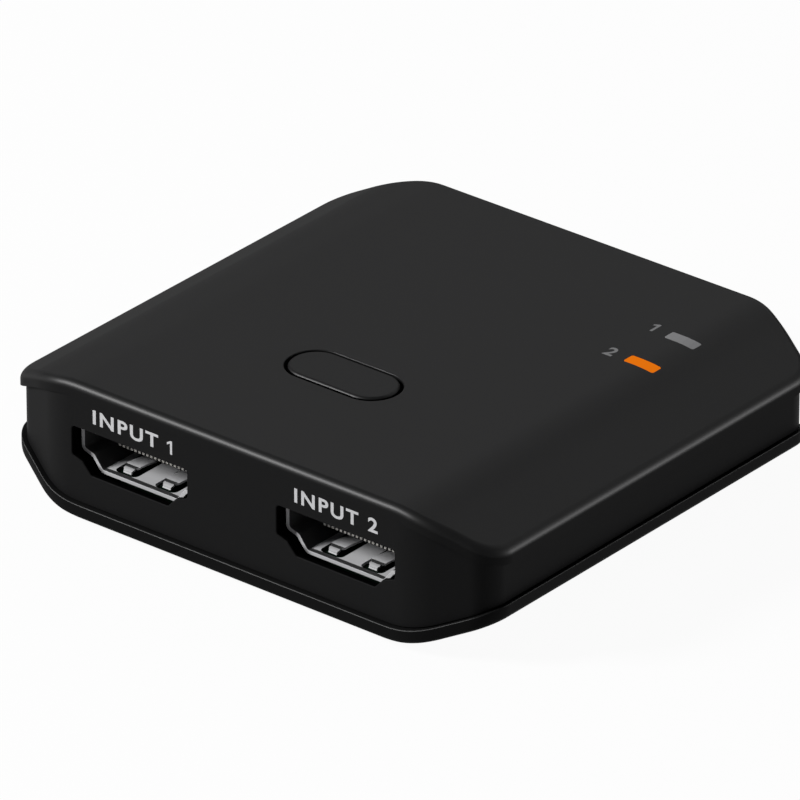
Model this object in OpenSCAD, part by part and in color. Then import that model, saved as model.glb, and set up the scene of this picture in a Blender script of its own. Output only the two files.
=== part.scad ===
// Two-input video switch box: an arched two-part case, a select button on the lid, two light
// windows, two sockets on the front, one socket and a power inlet on the back.
// X is the width, Y the depth with the front at -Y, Z is up. All sizes are in millimetres.

/* [Case] */
// Width across the side walls
body_w = 59.2; // [56:0.1:80]
// Depth from the front wall to the back wall
body_d = 56.6; // [54:0.1:80]
// Height of the flat top above the underside of the base
body_h = 14.5; // [14:0.05:18]
// Thickness of the walls
wall_t = 1.5; // [1.2:0.05:2]
// Set-back of the walls from the lid's front and back edges
wall_set = 0.05; // [0.03:0.01:0.15]
// Thickness of the lid
lid_t = 1.5; // [1.4:0.05:2]
// Overhang of the lid beyond the side walls
lid_over = 0.7; // [0.4:0.05:1.2]
// Overhang of the lid over the walls' slanted corners
corner_over = 0.45; // [0.2:0.05:0.6]
// Height of the lid's rim above the recessed side walls
rim_h = 1.55; // [1.5:0.05:2.6]
// Rounding of the lid's edge
lid_round = 0.9; // [0.4:0.05:1.2]
// Projection of the base's lip beyond the walls
lip_over = 0.5; // [0.3:0.02:1.2]
// Thickness of the base plate, which is the height of its lip
lip_h = 1.5; // [1.3:0.05:2]
// Rounding of the base's lower edge
lip_round = 0.45; // [0.3:0.05:0.9]
// Height of the locating rib that stands on the base inside the walls
rib_h = 1.4; // [0.8:0.1:1.8]
// Thickness of the locating rib
rib_t = 0.9; // [0.6:0.1:1.2]
// Gap between the locating rib and the walls
rib_gap = 0.12; // [0.05:0.01:0.3]

/* [Arch] */
// Half width at which the lid bends down
top_bend_x = 23.1; // [20:0.1:26]
// Slope of the lid's side fields in degrees
top_slope = 25; // [15:0.5:32]
// Radius of the lid's bend
top_bend_r = 16; // [6:0.5:20]
// Half width at which the base bends up
base_bend_x = 22.2; // [20:0.1:26]
// Slope of the base's side fields in degrees
base_slope = 25; // [15:0.5:32]
// Radius of the base's bend
base_bend_r = 14.7; // [6:0.1:20]

/* [Plan outline] */
// Half width at which the front corners turn back
front_corner_x = 22.4; // [20:0.1:26]
// Angle of the front corners' fields in degrees
front_taper = 23.5; // [15:0.5:35]
// Radius between the front and its corner fields
front_bend_r = 9; // [4:0.5:16]
// Half width at which the back corners turn forward
back_corner_x = 19.9; // [18:0.1:26]
// Angle of the back corners' fields in degrees
back_taper = 24; // [15:0.5:35]
// Radius between the back and its corner fields
back_bend_r = 8.5; // [4:0.5:16]
// Radius between a corner field and a side wall
side_r = 3.3; // [2:0.1:5]

/* [Sockets] */
// Distance between the two input sockets
input_pitch = 25.86; // [24:0.02:28]
// Place of the output socket across the back
output_x = -9.5; // [-11:0.1:-8]
// Inner width of a socket's shell
socket_w = 14; // [13.8:0.05:14.4]
// Inner height of a socket's shell
socket_h = 4.55; // [4.5:0.05:4.8]
// Length of a socket's shell
socket_l = 11.6; // [10:0.1:13]
// Height of a socket's inner floor above the underside of the base
socket_z = 5.03; // [4.9:0.01:5.3]
// Sheet thickness of the shells
sheet_t = 0.3; // [0.2:0.05:0.4]
// Margin of a case cut-out beside the shell's inside
cut_margin = 0.32; // [0.25:0.01:0.45]
// Margin of a case cut-out above and below the shell's inside
cut_level = 0.11; // [0.05:0.01:0.2]
// Wall left in front of the pocket around a socket
pocket_skin = 0.45; // [0.4:0.05:0.8]
// Room around a socket in its pocket
pocket_gap = 0.45; // [0.35:0.05:0.6]
// Gap between a shell's rim and the inside of the wall
rim_gap = 0.05; // [0.02:0.01:0.3]
// Distance of a tongue's tip behind the shell's rim
tongue_in = 3; // [2:0.05:3.4]
// Thickness of a tongue
tongue_t = 1.15; // [0.9:0.05:1.4]
// Width of a tongue
tongue_w = 10.8; // [10.4:0.1:11.6]
// Pitch of the contacts
contact_pitch = 0.5; // [0.5:0.01:0.52]
// Width of a contact
contact_w = 0.26; // [0.2:0.01:0.32]
// Thickness of a contact
contact_t = 0.12; // [0.08:0.01:0.2]
// Width of a spring finger in the shell
finger_w = 1.25; // [1:0.05:1.5]
// Width of a spring finger behind its tip
finger_body_w = 1.7; // [1.4:0.05:1.9]
// Half distance between a shell's two spring fingers
finger_x = 2.5; // [2.2:0.05:2.8]
// Slot around a spring finger
finger_slot = 0.42; // [0.3:0.02:0.6]
// Inward rise of a spring finger
finger_rise = 0.45; // [0.2:0.05:0.6]
// Depth of a shell's flared lead-in
flare_l = 0.65; // [0.5:0.05:0.9]
// Outward bend of the lead-in
flare_out = 0.24; // [0.1:0.02:0.3]
// Half width of the lead-in
flare_half = 4.35; // [4:0.05:4.6]

/* [Power inlet] */
// Place of the power inlet across the back
power_x = 9.5; // [8:0.1:12]
// Inner width of the inlet's shell
power_w = 8.34; // [8:0.02:8.6]
// Inner height of the inlet's shell
power_h = 2.56; // [2.5:0.02:2.8]
// Length of the inlet's shell
power_l = 7.3; // [6.5:0.1:8]

/* [Button and switch] */
// Length of the button
button_l = 12.6; // [10:0.1:15]
// Width of the button
button_w = 5.7; // [4:0.1:7]
// Place of the button's middle across the case
button_x = -0.6; // [-2:0.1:2]
// Distance of the button's middle behind the front wall
button_y = 17.8; // [16:0.1:19]
// Height of the button above the lid
button_up = 0.1; // [0.05:0.05:0.8]
// Gap between the button and its hole
button_gap = 0.3; // [0.15:0.01:0.4]
// Rounding of the button's top edge
button_round = 0.3; // [0.2:0.05:0.45]
// Width of the flange that keeps the button in the lid
flange_w = 1.1; // [0.8:0.1:1.5]
// Thickness of that flange
flange_t = 0.9; // [0.6:0.1:1.2]
// Travel of the button
button_travel = 0.4; // [0.2:0.05:0.6]
// Side of the push switch
switch_w = 6; // [5:0.1:7]
// Height of the push switch's housing
switch_h = 3.3; // [3:0.1:3.6]
// Thickness of the push switch's steel plate
plate_t = 0.25; // [0.15:0.05:0.4]
// Diameter of the push switch's plunger
plunger_d = 3.4; // [3:0.1:4]
// Height of the plunger above the steel plate
plunger_up = 1.1; // [0.9:0.1:1.5]
// Gap between the plunger and its holes
plunger_gap = 0.2; // [0.1:0.01:0.3]

/* [Lights] */
// Place of the light windows across the lid
light_x = 20.25; // [19.5:0.05:20.5]
// Distance of the first light from the back wall
light_y1 = 12.1; // [11.2:0.1:13]
// Distance of the second light from the back wall
light_y2 = 18.5; // [17:0.1:20]
// Length of a light window
light_l = 3.6; // [2.5:0.1:4]
// Width of a light window
light_w = 1.45; // [1:0.05:1.6]
// Corner radius of a light window
light_r = 0.22; // [0.2:0.05:0.5]
// Fit of a light pipe in its window
light_fit = 0.04; // [0.02:0.01:0.1]

/* [Inside] */
// Thickness of the circuit board
board_t = 1.2; // [1:0.1:1.6]
// Half width of the circuit board
board_x = 25.4; // [25:0.1:26]
// Gap between the circuit board and the base's locating rib
board_gap = 0.25; // [0.15:0.05:0.4]
// Distance of the screws from the middle
screw_x = 23; // [22.5:0.1:23.5]
// Distance of the front screws behind the front wall
screw_y1 = 17.5; // [17:0.1:19]
// Distance of the rear screws from the back wall
screw_y2 = 7; // [6.7:0.1:7.7]
// Diameter of the screws
screw_d = 2; // [1.8:0.1:2.2]
// Diameter of the screws' heads
head_d = 3.7; // [3.4:0.1:3.9]
// Height of the screws' heads
head_h = 1.2; // [1:0.1:1.4]
// Length of the screws below the head
screw_l = 7.5; // [6:0.5:9]
// Clearance of the screws in the base and the board
screw_gap = 0.3; // [0.2:0.05:0.5]
// Fit of the screws' threads in the lid's bosses
thread_gap = 0.04; // [0.02:0.01:0.08]
// Diameter of the screw bosses
boss_d = 4.6; // [4.2:0.1:5]
// Side of the switch chip
switch_chip_w = 9; // [7:0.5:10]
// Side of the control chip
control_chip_w = 5; // [4:0.5:6]
// Side of the regulator
regulator_w = 3; // [2:0.1:3.2]
// Height of the chips
chip_h = 0.9; // [0.7:0.05:1.2]
// Length of the crystal
crystal_l = 3.2; // [2.5:0.1:3.4]
// Width of the crystal
crystal_w = 2.5; // [2:0.1:2.6]
// Height of the crystal
crystal_h = 0.8; // [0.6:0.05:1]
// Length of a capacitor
cap_l = 1.6; // [1:0.1:1.8]
// Width and height of a capacitor
cap_w = 0.8; // [0.5:0.05:0.9]
// Length of a resistor
res_l = 1; // [0.6:0.1:1.2]
// Width of a resistor
res_w = 0.5; // [0.3:0.05:0.6]
// Length of a surge array
array_l = 2.5; // [2:0.1:2.6]
// Width of a surge array
array_w = 1; // [0.8:0.1:1.2]
// Gap between the small components on the board
part_gap = 1.5; // [1.2:0.1:1.8]
// Lane for tracks beside the switch chip
track_lane = 5; // [4:0.5:6]
// Diameter of the rubber feet
foot_d = 7; // [5:0.5:8]
// Height of the feet below the base
foot_h = 0.8; // [0.6:0.1:1.5]
// Depth of the feet in the base
foot_in = 0.4; // [0.2:0.1:0.6]
// Distance of the feet from the middle
foot_x = 14; // [12:0.5:14.5]
// Distance of the feet from the front and back walls
foot_y = 8.5; // [7:0.5:12]

/* [Hidden] */

front = -body_d / 2;
back = body_d / 2;
z0 = foot_h;
top_z = z0 + body_h;
ceil_z = top_z - lid_t;
half_w = body_w / 2;
lid_half = half_w + lid_over;
floor_z = z0 + socket_z;
board_top = floor_z - sheet_t;
board_low = board_top - board_t;
rim_front = wall_set + wall_t + rim_gap;
finger_tip = 1.05;
finger_root = 6.8;
block_y = 8.2;
block_end = socket_l - 0.3;
tongue_z = socket_h / 2;
leg_len = 1.8;
leg_at = [2.3, 8.7];
pins = 19;
power_tongue_t = 0.7;
power_block_y = 5.6;
power_pins = 12;
power_strip = 0.1;
plate_z = board_top + switch_h;
plunger_top = plate_z + plate_t + plunger_up;
well_z = board_top + 0.8;
dome_h = button_travel + 0.3;
seat_z = board_low - 1.5;
feet_end = rim_front + socket_l + 1.6;
array_y = feet_end + 2 * part_gap;
chip_y = (front + button_y + switch_w / 2 + back - feet_end) / 2;
control_x = switch_chip_w / 2 + track_lane + control_chip_w / 2;
control_y = chip_y - switch_chip_w / 2 + control_chip_w / 2;
regulator_x = control_x + control_chip_w / 2 + part_gap + regulator_w / 2;
row_y = chip_y + switch_chip_w / 2 + part_gap + cap_l / 2;
arc_n = 8;
round_n = 6;
far = 60;
eps = 0.01;
chip_gray = [0.12, 0.12, 0.13];
case_black = [0.11, 0.11, 0.115];
steel = [0.72, 0.72, 0.71];

// Points on an arc from angle a0 to a1.
function arc(c, r, a0, a1, n = arc_n) =
    [for (i = [0:n]) let(a = a0 + (a1 - a0) * i / n) c + r * [cos(a), sin(a)]];

// Mirror image of a point list in X, in reversed order.
function flip(p) = [for (i = [len(p) - 1:-1:0]) [-p[i][0], p[i][1]]];

// Right half of the plan outline for half width w, grown outwards by g, from front to back.
// Its slanted corners alone lie o further out.
function half_plan(w, r, g, o) =
    let(fa = front_taper, ba = back_taper,
        fx = front_corner_x + o / sin(fa),
        bx = back_corner_x + o / sin(ba),
        c1 = [fx - front_bend_r * tan(fa / 2), front + front_bend_r],
        c2 = [w - r, front + ((w - r - fx) * sin(fa) + r) / cos(fa)],
        c3 = [w - r, back - ((w - r - bx) * sin(ba) + r) / cos(ba)],
        c4 = [bx - back_bend_r * tan(ba / 2), back - back_bend_r])
    concat(arc(c1, front_bend_r + g, -90, fa - 90), arc(c2, r + g, fa - 90, 0),
           arc(c3, r + g, 0, 90 - ba), arc(c4, back_bend_r + g, 90 - ba, 90));

function plan(w, r, g, o) = let(h = half_plan(w, r, g, o)) concat(h, flip(h));

// Right half of an arch: flat at 0, bent by radius r at x = bx and falling at the given slope.
function half_arch(bx, slope, r) =
    concat(arc([bx - r * tan(slope / 2), -r], r, 90, 90 - slope),
           [[far, -(far - bx) * tan(slope)]]);

function arch(bx, slope, r) = let(h = half_arch(bx, slope, r)) concat(flip(h), h);

top_arch = arch(top_bend_x, top_slope, top_bend_r);
base_arch = arch(base_bend_x, base_slope, base_bend_r);

// Everything below the lid's arch lowered by d, and above it.
module below_top(d) {
    pts = [for (p = top_arch) [p[0], top_z - d + p[1]]];
    along() polygon(concat(pts, [[far, -far], [-far, -far]]));
}
module above_top(d) {
    pts = [for (p = top_arch) [p[0], top_z - d + p[1]]];
    along() polygon(concat(pts, [[far, far], [-far, far]]));
}

// Everything above the base's arch raised by d, and below it.
module above_base(d) {
    pts = [for (p = base_arch) [p[0], z0 + d - p[1]]];
    along() polygon(concat(pts, [[far, far * 2], [-far, far * 2]]));
}
module below_base(d) {
    pts = [for (p = base_arch) [p[0], z0 + d - p[1]]];
    along() polygon(concat(pts, [[far, -far], [-far, -far]]));
}

// A profile in X and Z run along Y through the whole case.
module along() {
    translate([0, far, 0]) rotate([90, 0, 0]) linear_extrude(2 * far) children();
}

// A profile in X and Z run along Y from 0 to l.
module run(l) {
    translate([0, l, 0]) rotate([90, 0, 0]) linear_extrude(l) children();
}

// A profile in Y and Z given a width in X about x.
module blade(x, w) {
    translate([x - w / 2, 0, 0]) rotate([90, 0, 90]) linear_extrude(w) children();
}

module block(x0, x1, y0, y1, za, zb) {
    translate([x0, y0, za]) cube([x1 - x0, y1 - y0, zb - za]);
}

module column(g, w, r, za, zb, o = 0) {
    translate([0, 0, za]) linear_extrude(zb - za) polygon(plan(w, r, g, o));
}

module at_screws() {
    for (x = [-screw_x, screw_x])
        for (y = [front + screw_y1, back - screw_y2])
            translate([x, y, 0]) children();
}

// Outline of a socket's inside in X and Z, with the floor at 0.
socket_pts = [[-4.7, 0], [4.7, 0], [5.75, 1.35], [socket_w / 2, 1.75], [socket_w / 2, socket_h],
              [-socket_w / 2, socket_h], [-socket_w / 2, 1.75], [-5.75, 1.35]];

function unit(v) = v / norm(v);
function outward(a, b) = let(d = unit(b - a)) [d[1], -d[0]];

// A closed outline grown by g.
function grow(p, g) =
    let(n = len(p))
    [for (i = [0:n - 1])
        let(n1 = outward(p[(i + n - 1) % n], p[i]), n2 = outward(p[i], p[(i + 1) % n]))
        p[i] + g * (n1 + n2) / (1 + n1 * n2)];

// A closed outline with its corners rounded.
function soften(p, r, k = 4) =
    let(n = len(p))
    [for (i = [0:n - 1])
        let(u = unit(p[(i + n - 1) % n] - p[i]), v = unit(p[(i + 1) % n] - p[i]),
            half = acos(u * v) / 2, m = unit(u + v), c = p[i] + m * r / sin(half),
            s = p[i] + u * r / tan(half) - c, e = p[i] + v * r / tan(half) - c,
            a0 = atan2(s[1], s[0]), d = atan2(e[1], e[0]) - a0,
            turn = d > 180 ? d - 360 : d < -180 ? d + 360 : d)
        for (j = [0:k]) c + r * [cos(a0 + turn * j / k), sin(a0 + turn * j / k)]];

module socket_area(g) {
    polygon(soften(grow(socket_pts, g), 0.3 + g));
}

// Outline of the case's cut-out for a socket, wider at the sides than above and below.
module socket_cut() {
    pts = [for (p = grow(socket_pts, cut_margin))
        [p[0], max(-cut_level, min(p[1], socket_h + cut_level))]];
    polygon(soften(pts, 0.4));
}

// The pocket in the wall's inside around a socket's rim.
module socket_pocket() {
    translate([0, pocket_skin - rim_front, 0]) run(rim_front) socket_area(sheet_t + pocket_gap);
}

// Moves a socket's own frame, with the rim at y = 0, to its place in the case.
module at_input(side) {
    translate([side * input_pitch / 2, front + rim_front, floor_z]) children();
}
module at_output() {
    translate([output_x, back - rim_front, floor_z]) rotate([0, 0, 180]) children();
}
module at_power() {
    translate([power_x, back - rim_front, board_top + sheet_t + power_h / 2]) rotate([0, 0, 180])
        children();
}

// A flat bar with round ends, l long and w wide over all.
module obround(l, w) {
    square([l - w, w], center = true);
    for (s = [-1, 1]) translate([s * (l - w) / 2, 0]) circle(d = w, $fn = 64);
}

// A shape turned about each end of the button and run between them.
module around_button(l, w) {
    for (s = [0, 180])
        rotate([0, 0, s]) translate([(l - w) / 2, 0, 0]) rotate([0, 0, -90])
            rotate_extrude(angle = 180, $fn = 96) children();
    for (s = [0, 180])
        rotate([0, 0, s]) translate([-(l - w) / 2, 0, 0]) rotate([90, 0, 90])
            linear_extrude(l - w) children();
}

module lid_form() {
    hull()
        for (i = [0:round_n])
            let(a = 90 * i / round_n)
            intersection() {
                column(-lid_round * (1 - cos(a)), lid_half, side_r + lid_over, z0 + 4, top_z + 1,
                       corner_over);
                below_top(lid_round * (1 - sin(a)));
            }
}

module base_form() {
    hull()
        for (i = [0:round_n])
            let(a = 90 * i / round_n)
            intersection() {
                column(lip_over - lip_round * (1 - cos(a)), half_w, side_r, z0 - 1, z0 + 9);
                above_base(lip_round * (1 - sin(a)));
            }
}

module light_window(y, g) {
    pts = soften([[-light_l / 2, -light_w / 2], [light_l / 2, -light_w / 2],
                  [light_l / 2, light_w / 2], [-light_l / 2, light_w / 2]], light_r);
    translate([light_x, back - y]) polygon(grow(pts, g));
}

module power_area(g) {
    obround(power_w + 2 * g, power_h + 2 * g);
}

module top_cover() {
    color(case_black)
    difference() {
        union() {
            difference() {
                union() {
                    difference() {
                        lid_form();
                        below_top(rim_h);
                    }
                    intersection() {
                        column(-wall_set, half_w, side_r, z0, top_z);
                        above_base(lip_h);
                        below_top(lid_t / 2);
                    }
                }
                intersection() {
                    column(-wall_set - wall_t, half_w, side_r, z0, top_z);
                    below_top(lid_t);
                }
            }
            intersection() {
                at_screws() translate([0, 0, board_top])
                    cylinder(d = boss_d, h = top_z - board_top, $fn = 48);
                below_top(lid_t / 2);
            }
        }
        at_screws() translate([0, 0, board_top - 1])
            cylinder(d = screw_d + 2 * thread_gap, h = screw_l - board_t + 1.5, $fn = 48);
        for (s = [-1, 1]) at_input(s) translate([0, -rim_front - 1, 0])
            run(rim_front + 1) socket_cut();
        for (s = [-1, 1]) at_input(s) socket_pocket();
        at_output() translate([0, -rim_front - 1, 0]) run(rim_front + 1) socket_cut();
        at_output() socket_pocket();
        at_power() translate([0, -rim_front - 1, 0]) run(rim_front + 1)
            power_area(cut_margin);
        translate([button_x, front + button_y, ceil_z - 1]) linear_extrude(lid_t + 2)
            obround(button_l + 2 * button_gap, button_w + 2 * button_gap);
        for (y = [light_y1, light_y2])
            translate([0, 0, ceil_z - 2]) linear_extrude(lid_t + 3) light_window(y, light_fit);
    }
}

module base_plate() {
    color(case_black)
    difference() {
        union() {
            difference() {
                base_form();
                above_base(lip_h);
            }
            intersection() {
                difference() {
                    column(-wall_set - wall_t - rib_gap, half_w, side_r, z0, z0 + 9);
                    column(-wall_set - wall_t - rib_gap - rib_t, half_w, side_r, z0 - 1, z0 + 10);
                }
                above_base(lip_h / 2);
                below_base(lip_h + rib_h);
            }
            intersection() {
                at_screws() translate([0, 0, z0]) cylinder(d = boss_d, h = board_low - z0, $fn = 48);
                above_base(lip_h / 2);
            }
        }
        at_screws() translate([0, 0, z0 - 1])
            cylinder(d = screw_d + screw_gap, h = board_low - z0 + 2, $fn = 48);
        at_screws() translate([0, 0, z0 - 2])
            cylinder(d = head_d + screw_gap, h = seat_z - z0 + 2, $fn = 48);
        at_feet() translate([0, 0, z0 - 1]) cylinder(d = foot_d + 2 * rib_gap, h = 1 + foot_in, $fn = 64);
    }
}

module at_feet() {
    for (x = [-foot_x, foot_x])
        for (y = [front + foot_y, back - foot_y])
            translate([x, y, 0]) children();
}

module rubber_feet() {
    edge = 0.3;
    color([0.07, 0.07, 0.07])
    at_feet() rotate_extrude($fn = 64)
        polygon([[0, 0], [foot_d / 2 - edge, 0], [foot_d / 2, edge], [foot_d / 2, foot_h + foot_in],
                 [0, foot_h + foot_in]]);
}

module case_screws() {
    crown = 0.35;
    tip = 0.8;
    slot = 0.45;
    color([0.35, 0.35, 0.36])
    at_screws() difference() {
        rotate_extrude($fn = 48)
            polygon([[0, seat_z - head_h], [head_d / 2 - crown, seat_z - head_h],
                     [head_d / 2, seat_z - head_h + crown], [head_d / 2, seat_z],
                     [screw_d / 2, seat_z], [screw_d / 2, seat_z + screw_l - tip],
                     [screw_d / 5, seat_z + screw_l], [0, seat_z + screw_l]]);
        for (a = [0, 90]) rotate([0, 0, a])
            block(-0.9, 0.9, -slot / 2, slot / 2, seat_z - head_h - 1, seat_z - head_h + 0.8);
    }
}

module board_slots() {
    gap = 0.2;
    for (s = [-1, 1])
        for (y = leg_at)
            block(s * (socket_w / 2 + sheet_t / 2) - sheet_t / 2 - gap,
                  s * (socket_w / 2 + sheet_t / 2) + sheet_t / 2 + gap,
                  y - gap, y + leg_len + gap, -far / 2, 0);
}

module main_board() {
    color([0.05, 0.22, 0.13])
    difference() {
        intersection() {
            column(-wall_set - wall_t - rib_gap - rib_t - board_gap, half_w, side_r, board_low, board_top);
            block(-board_x, board_x, front, back, z0, top_z);
        }
        at_screws() translate([0, 0, board_low - 1])
            cylinder(d = screw_d + screw_gap, h = board_t + 2, $fn = 48);
        for (s = [-1, 1]) at_input(s) board_slots();
        at_output() board_slots();
    }
}

// One spring finger of a shell, standing in from the floor at x, with a narrow tip bent back out.
module finger(x) {
    t = sheet_t * 0.8;
    crest = finger_tip + 1.2;
    blade(x, finger_body_w)
        polygon([[finger_root + 0.2, 0], [crest, finger_rise], [crest, finger_rise - t],
                 [finger_root + 0.2, -t]]);
    blade(x, finger_w)
        polygon([[crest + 0.1, finger_rise - 0.01], [crest - 0.4, finger_rise - 0.03],
                 [finger_tip + 0.2, 0.2], [finger_tip, 0], [finger_tip - 0.05, -0.14],
                 [finger_tip + 0.15, -0.2], [crest - 0.35, finger_rise - 0.03 - t],
                 [crest + 0.1, finger_rise - 0.01 - t]]);
}

// The front edge of a shell's floor, bent outwards as a lead-in.
module lead_in() {
    blade(0, 2 * flare_half)
        polygon([[flare_l, 0], [0, -flare_out], [0, -flare_out - sheet_t], [flare_l, -sheet_t],
                 [flare_l + 0.1, -sheet_t], [flare_l + 0.1, 0]]);
}

module lead_in_gap() {
    w = flare_half + 0.2;
    block(-w, w, -1, flare_l, -sheet_t - 0.2, 0.2);
}

module finger_window(x) {
    w = finger_body_w + 2 * finger_slot;
    block(x - w / 2, x + w / 2, finger_tip - finger_slot, finger_root, -sheet_t - 0.2, 0.3);
}

module socket_shell() {
    color(steel)
    union() {
        difference() {
            run(socket_l) socket_area(sheet_t);
            translate([0, -1, 0]) run(socket_l + 2) socket_area(0);
            for (x = [-finger_x, finger_x]) {
                finger_window(x);
                translate([0, 0, socket_h]) mirror([0, 0, 1]) finger_window(x);
            }
            lead_in_gap();
            translate([0, 0, socket_h]) mirror([0, 0, 1]) lead_in_gap();
        }
        lead_in();
        translate([0, 0, socket_h]) mirror([0, 0, 1]) lead_in();
        for (x = [-finger_x, finger_x]) {
            finger(x);
            translate([0, 0, socket_h]) mirror([0, 0, 1]) finger(x);
        }
        for (s = [-1, 1])
            for (y = leg_at)
                block(s * (socket_w + sheet_t) / 2 - sheet_t / 2,
                      s * (socket_w + sheet_t) / 2 + sheet_t / 2,
                      y, y + leg_len, -sheet_t - board_t - 0.4, 2.6);
    }
}

// Side outline of one contact: tip, strip along the tongue, drop to the board and foot.
module contact_side(upper) {
    za = tongue_z + (upper ? tongue_t / 2 : -tongue_t / 2 - contact_t);
    tip_a = tongue_z - (upper ? 0.42 : tongue_t / 2);
    tip_b = tongue_z + (upper ? tongue_t / 2 : 0.25);
    drop = socket_l + (upper ? 0.5 : 0.2);
    low = -sheet_t;
    y0 = tongue_in - contact_t;
    foot = drop + 1.1;
    if (upper)
        polygon([[y0, tip_a], [tongue_in, tip_a], [tongue_in, za], [drop, za], [drop, low],
                 [foot, low], [foot, low + contact_t], [drop + contact_t, low + contact_t],
                 [drop + contact_t, za + contact_t], [y0, za + contact_t]]);
    else
        polygon([[y0, za], [drop, za], [drop, low], [foot, low], [foot, low + contact_t],
                 [drop + contact_t, low + contact_t], [drop + contact_t, za + contact_t],
                 [tongue_in, za + contact_t], [tongue_in, tip_b], [y0, tip_b]]);
}

module contact_set() {
    for (i = [0:pins - 1])
        blade((i - (pins - 1) / 2) * contact_pitch, contact_w) contact_side(i % 2 == 0);
}

module socket_insulator() {
    color([0.06, 0.06, 0.065])
    difference() {
        union() {
            translate([0, block_y, 0]) run(block_end - block_y) socket_area(-0.02);
            block(-tongue_w / 2, tongue_w / 2, tongue_in, block_y + eps,
                  tongue_z - tongue_t / 2, tongue_z + tongue_t / 2);
        }
        for (i = [0:pins - 1])
            let(x = (i - (pins - 1) / 2) * contact_pitch,
                za = tongue_z + (i % 2 == 0 ? tongue_t / 2 : -tongue_t / 2 - contact_t))
            block(x - contact_w / 2, x + contact_w / 2, block_y - 1, block_end + 1, za, za + contact_t);
    }
}

module socket_contacts() {
    color([0.83, 0.68, 0.35]) contact_set();
}

module input_1_shell() { at_input(-1) socket_shell(); }
module input_1_insulator() { at_input(-1) socket_insulator(); }
module input_1_contacts() { at_input(-1) socket_contacts(); }
module input_2_shell() { at_input(1) socket_shell(); }
module input_2_insulator() { at_input(1) socket_insulator(); }
module input_2_contacts() { at_input(1) socket_contacts(); }
module output_shell() { at_output() socket_shell(); }
module output_insulator() { at_output() socket_insulator(); }
module output_contacts() { at_output() socket_contacts(); }

module power_shell() {
    color(steel)
    at_power() difference() {
        run(power_l) power_area(sheet_t);
        translate([0, -1, 0]) run(power_l + 2) power_area(0);
    }
}

module power_strips() {
    low = -power_h / 2 - sheet_t;
    for (i = [0:power_pins - 1])
        for (s = [-1, 1])
            let(x = (i - (power_pins - 1) / 2) * contact_pitch,
                za = s > 0 ? power_tongue_t / 2 : -power_tongue_t / 2 - power_strip,
                drop = power_l + (s > 0 ? 1.1 : 0.2))
            blade(x, contact_w)
                polygon([[1.1, za], [drop, za], [drop, low], [drop + 0.6, low],
                         [drop + 0.6, low + power_strip], [drop + power_strip, low + power_strip],
                         [drop + power_strip, za + power_strip], [1.1, za + power_strip]]);
}

module power_tongue() {
    half = 3.35;
    color([0.06, 0.06, 0.065])
    at_power() difference() {
        union() {
            translate([0, power_block_y, 0]) run(power_l - power_block_y - 0.1) power_area(-0.02);
            block(-half, half, 0.6, power_block_y + eps, -power_tongue_t / 2, power_tongue_t / 2);
        }
        power_strips();
    }
}

module power_contacts() {
    color([0.83, 0.68, 0.35]) at_power() power_strips();
}

module at_switch() {
    translate([button_x, front + button_y, 0]) children();
}

module select_button() {
    r = button_w / 2;
    cap_z = top_z + button_up;
    under = ceil_z - flange_t;
    stem_r = plunger_d / 2 - 0.1;
    cap_t = 1.3;
    skirt = 1.1;
    color(case_black)
    at_switch() {
        difference() {
            around_button(button_l, button_w)
                polygon(concat([[0, under], [r + flange_w, under], [r + flange_w, ceil_z], [r, ceil_z]],
                               arc([r - button_round, cap_z - button_round], button_round, 0, 90),
                               [[0, cap_z]]));
            translate([0, 0, under - 1]) linear_extrude(cap_z - cap_t - under + 1)
                obround(button_l - 2 * skirt, button_w - 2 * skirt);
        }
        translate([0, 0, plunger_top]) cylinder(r = stem_r, h = cap_z - cap_t / 2 - plunger_top, $fn = 48);
    }
}

module switch_housing() {
    well = plunger_d / 2 + plunger_gap + 0.5;
    color(chip_gray)
    at_switch() difference() {
        block(-switch_w / 2, switch_w / 2, -switch_w / 2, switch_w / 2, board_top, plate_z);
        translate([0, 0, well_z]) cylinder(r = well, h = switch_h, $fn = 48);
    }
}

module switch_plate() {
    inset = 0.05;
    w = switch_w - 2 * inset;
    peg = 0.5;
    color(steel)
    at_switch() difference() {
        block(-w / 2, w / 2, -w / 2, w / 2, plate_z, plate_z + plate_t);
        translate([0, 0, plate_z - 1]) cylinder(r = plunger_d / 2 + plunger_gap, h = 3, $fn = 48);
        for (x = [-1, 1])
            for (y = [-1, 1])
                translate([x * 2.3, y * 2.3, plate_z - 1]) cylinder(r = peg, h = 3, $fn = 32);
    }
}

module switch_plunger() {
    shoulder = plunger_d / 2 + plunger_gap + 0.2;
    low = well_z + dome_h;
    color([0.5, 0.16, 0.12])
    at_switch() rotate_extrude($fn = 64)
        polygon([[0, low], [shoulder, low], [shoulder, plate_z], [plunger_d / 2, plate_z],
                 [plunger_d / 2, plunger_top - 0.15], [plunger_d / 2 - 0.15, plunger_top],
                 [0, plunger_top]]);
}

// The domed spring disc under the plunger, which returns it.
module switch_dome() {
    half = plunger_d / 2;
    t = 0.1;
    r = (half * half + dome_h * dome_h) / (2 * dome_h);
    span = asin(half / r);
    color(steel)
    at_switch() translate([0, 0, well_z + dome_h - r]) rotate_extrude($fn = 64)
        intersection() {
            polygon(concat(arc([0, 0], r, 90, 90 - span, 8), arc([0, 0], r - t, 90 - span, 90, 8)));
            translate([0, r - dome_h]) square([far, far]);
        }
}

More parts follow.
